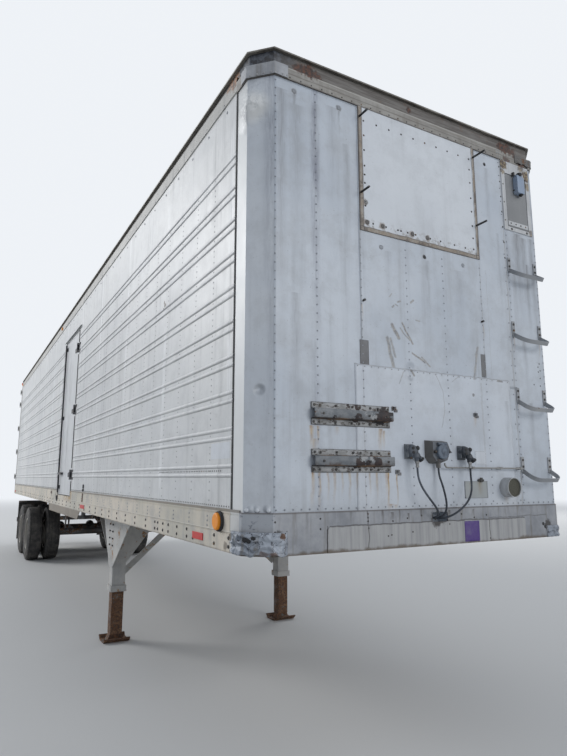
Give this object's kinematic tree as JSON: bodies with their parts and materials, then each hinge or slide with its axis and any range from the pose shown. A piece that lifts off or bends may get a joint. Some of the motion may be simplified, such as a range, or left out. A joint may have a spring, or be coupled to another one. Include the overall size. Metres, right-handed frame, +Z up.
{
  "type": "semi trailer",
  "caption": "Long insulated box semi trailer parked on landing legs: ribbed side walls, blanked front panel, side door, twin rear doors, tandem dual wheels and kingpin coupler.",
  "frame": {"origin": "on the ground, under the middle of the trailer's box", "axes": "+Z up, nose towards -Y, curb side -X, road side +X"},
  "size_m": [2.502, 13.901, 4.115],
  "materials": {
    "white_skin": "weathered white painted aluminium sheet, riveted",
    "bare_aluminium": "dull oxidised aluminium extrusion",
    "cream_rail": "weathered cream painted rail with bolts and grime",
    "roof_sheet": "oxidised roof sheet, edge dark",
    "floor_deck": "worn ribbed load floor",
    "dark_steel": "old black chassis paint with rust",
    "white_steel": "white painted steel with rust at the edges",
    "rusty_steel": "rusted steel, paint mostly gone",
    "galvanised": "dull galvanised hardware",
    "tyre_rubber": "old dusty tyre rubber",
    "wheel_white": "faded white wheel paint with rust",
    "door_skin": "white door skin",
    "black_rubber": "weathered black rubber",
    "grey_plastic": "sun faded dark grey moulding",
    "lamp_lens": "ribbed lamp lens",
    "red_lens": "red lens"
  },
  "bodies": {
    "trailer": {"axles": "dark_steel", "bottom_rails": "cream_rail", "brake_chambers": "dark_steel", "conduit": "galvanised", "corner_panel": "white_skin", "corner_posts": "white_skin", "coupler": "dark_steel", "crossmembers": "dark_steel", "dock_bumpers": "black_rubber", "flap_brackets": "dark_steel", "floor": "floor_deck", "gladhands": "grey_plastic", "hat_brackets": "rusty_steel", "hose_emergency": "black_rubber", "hose_service": "black_rubber", "kingpin": "dark_steel", "landing_braces": "white_steel", "landing_drive": "rusty_steel", "landing_feet": "rusty_steel", "landing_legs": "white_steel", "marker_lamps": "lamp_lens", "mud_flaps": "black_rubber", "nose_band": "bare_aluminium", "nose_steps": "rusty_steel", "nose_top_rail": "bare_aluminium", "nose_wall": "white_skin", "rail_reinforcement": "cream_rail", "rear_frame": "white_steel", "rear_guard": "dark_steel", "receptacle": "grey_plastic", "receptacle_cable": "black_rubber", "reflectors": "red_lens", "roof": "roof_sheet", "side_door_frame": "bare_aluminium", "side_wall_curb": "white_skin", "side_wall_road": "white_skin", "springs": "dark_steel", "subframe": "dark_steel", "tail_lamps": "red_lens", "top_rails": "bare_aluminium", "unit_blank": "white_skin", "vent_tube": "galvanised"},
    "wheels_front_curb": {"tyres_front_curb": "tyre_rubber", "wheel_front_curb": "wheel_white"},
    "wheels_front_road": {"tyres_front_road": "tyre_rubber", "wheel_front_road": "wheel_white"},
    "wheels_rear_curb": {"tyres_rear_curb": "tyre_rubber", "wheel_rear_curb": "wheel_white"},
    "wheels_rear_road": {"tyres_rear_road": "tyre_rubber", "wheel_rear_road": "wheel_white"},
    "rear_leaf_curb": {"rear_door_curb": "door_skin", "rear_hardware_curb": "galvanised"},
    "rear_leaf_road": {"rear_door_road": "door_skin", "rear_hardware_road": "galvanised"},
    "side_leaf": {"side_door": "door_skin", "side_door_hardware": "galvanised"}
  },
  "joints": [
    {"name": "wheel_spin_front_curb", "type": "hinge", "parent": "trailer", "child": "wheels_front_curb", "pos_m": [0, 3.6795, 0.52], "axis": [-1, 0, 0], "continuous": true},
    {"name": "wheel_spin_front_road", "type": "hinge", "parent": "trailer", "child": "wheels_front_road", "pos_m": [0, 3.6795, 0.52], "axis": [-1, 0, 0], "continuous": true},
    {"name": "wheel_spin_rear_curb", "type": "hinge", "parent": "trailer", "child": "wheels_rear_curb", "pos_m": [0, 4.9245, 0.52], "axis": [-1, 0, 0], "continuous": true},
    {"name": "wheel_spin_rear_road", "type": "hinge", "parent": "trailer", "child": "wheels_rear_road", "pos_m": [0, 4.9245, 0.52], "axis": [-1, 0, 0], "continuous": true},
    {"name": "rear_door_curb_swing", "type": "hinge", "parent": "trailer", "child": "rear_leaf_curb", "pos_m": [-1.237, 6.8975, 2.705], "axis": [0, 0, 1], "range_deg": [0, 260]},
    {"name": "rear_door_road_swing", "type": "hinge", "parent": "trailer", "child": "rear_leaf_road", "pos_m": [1.237, 6.8975, 2.705], "axis": [0, 0, -1], "range_deg": [0, 260]},
    {"name": "side_door_swing", "type": "hinge", "parent": "trailer", "child": "side_leaf", "pos_m": [-1.233, -1.4665, 2.505], "axis": [0, 0, 1], "range_deg": [0, 175]}
  ]
}
